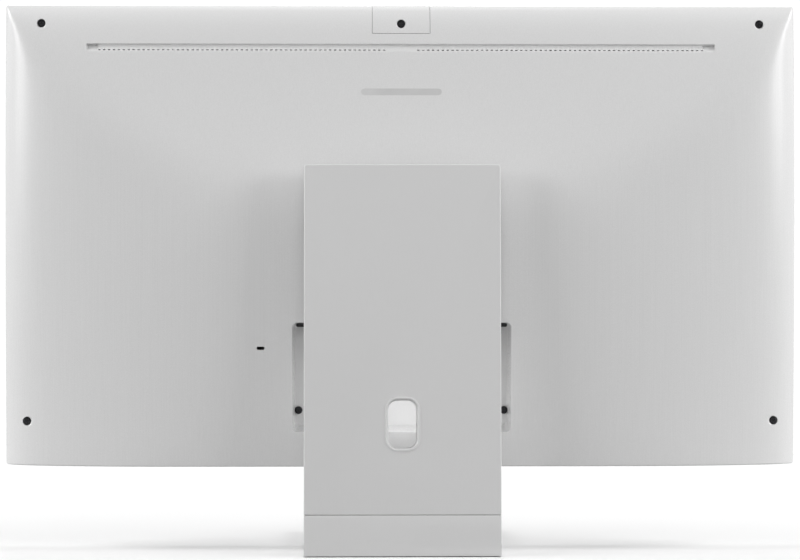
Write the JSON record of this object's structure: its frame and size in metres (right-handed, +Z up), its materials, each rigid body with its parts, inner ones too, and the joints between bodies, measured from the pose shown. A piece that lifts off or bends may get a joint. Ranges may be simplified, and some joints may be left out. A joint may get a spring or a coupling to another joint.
{
  "type": "all in one pc",
  "caption": "All in one computer with a wide cushioned rear cover, a tilting display head, a lift-up camera and a leaning slab stand with a cable hole.",
  "frame": {"origin": "centre of the footprint, on the surface that the stand rests on", "axes": "+Z up; +X along the display's width, to the left when seen from behind; -Y the way the display faces, so +Y is the rear"},
  "size_m": [0.612, 0.185, 0.4201],
  "materials": {
    "shell_white": "satin white with a fine vertical hairline",
    "trim_white": "satin white",
    "black_plastic": "fine black texture",
    "screen_glass": "dark anti-glare glass",
    "diffuser": "clear diffuser",
    "steel": "zinc plated",
    "socket_tin": "bright tin plate",
    "screw_dark": "black zinc",
    "circuit_board": "green solder mask",
    "copper": "bare copper",
    "rubber": "soft matt"
  },
  "bodies": {
    "stand": {"neck_rear_cover": "shell_white", "neck_front_cover": "shell_white", "hinge_stand_bracket": "steel", "hinge_pin": "steel", "friction_washer_left": "copper", "friction_washer_right": "copper", "neck_core": "steel", "base_cover": "shell_white", "base_plate": "steel", "base_screw_left": "screw_dark", "base_screw_right": "screw_dark", "foot_front_left": "rubber", "foot_front_right": "rubber", "foot_rear_left": "rubber", "foot_rear_right": "rubber"},
    "head": {"front_frame": "shell_white", "chin_trim": "trim_white", "lcd_cell": "screen_glass", "light_guide": "diffuser", "led_bar": "socket_tin", "backlight_tray": "steel", "main_chassis": "steel", "rear_cover": "shell_white", "port_panel": "black_plastic", "hinge_head_bracket": "steel", "cover_screw_top_left": "screw_dark", "cover_screw_top_right": "screw_dark", "cover_screw_low_left": "screw_dark", "cover_screw_low_right": "screw_dark", "bay_screw_left": "screw_dark", "bay_screw_right": "screw_dark", "dc_jack": "black_plastic", "lan_port": "socket_tin", "hdmi_in_port": "socket_tin", "hdmi_out_port": "socket_tin", "usb_a_port_1": "socket_tin", "usb_a_port_2": "socket_tin", "usb_a_port_3": "socket_tin", "usb_c_port": "socket_tin", "audio_jack": "black_plastic", "motherboard": "circuit_board", "cpu_cold_plate": "copper", "heat_pipe": "copper", "fin_stack": "socket_tin", "fan_housing": "black_plastic", "memory_module_1": "circuit_board", "memory_module_2": "circuit_board", "ssd_module": "circuit_board", "wireless_card": "circuit_board", "speaker_left": "black_plastic", "speaker_right": "black_plastic", "webcam_guide": "black_plastic", "power_switch_board": "circuit_board", "display_driver_board": "circuit_board"},
    "fan": {"fan_impeller": "black_plastic"},
    "webcam": {"webcam_front_shell": "black_plastic", "webcam_rear_shell": "shell_white", "webcam_lens": "screen_glass", "webcam_screw": "screw_dark"},
    "power_button": {"power_button": "trim_white"}
  },
  "joints": [
    {"name": "head_tilt", "type": "hinge", "parent": "stand", "child": "head", "pos_m": [0, 0.05849, 0.26195], "axis": [-1, 0, 0], "range_deg": [-5, 15]},
    {"name": "webcam_lift", "type": "slide", "parent": "head", "child": "webcam", "axis": [0, 0, 1], "range_m": [0, 0.02]},
    {"name": "fan_spin", "type": "hinge", "parent": "head", "child": "fan", "pos_m": [0.152, 0.02468, 0.24985], "axis": [0, 1, 0], "continuous": true},
    {"name": "power_button_press", "type": "slide", "parent": "head", "child": "power_button", "axis": [0, 0, 1], "range_m": [0, 0.0008], "stiffness_N_per_m": 1500, "springref_m": -0.0004}
  ]
}
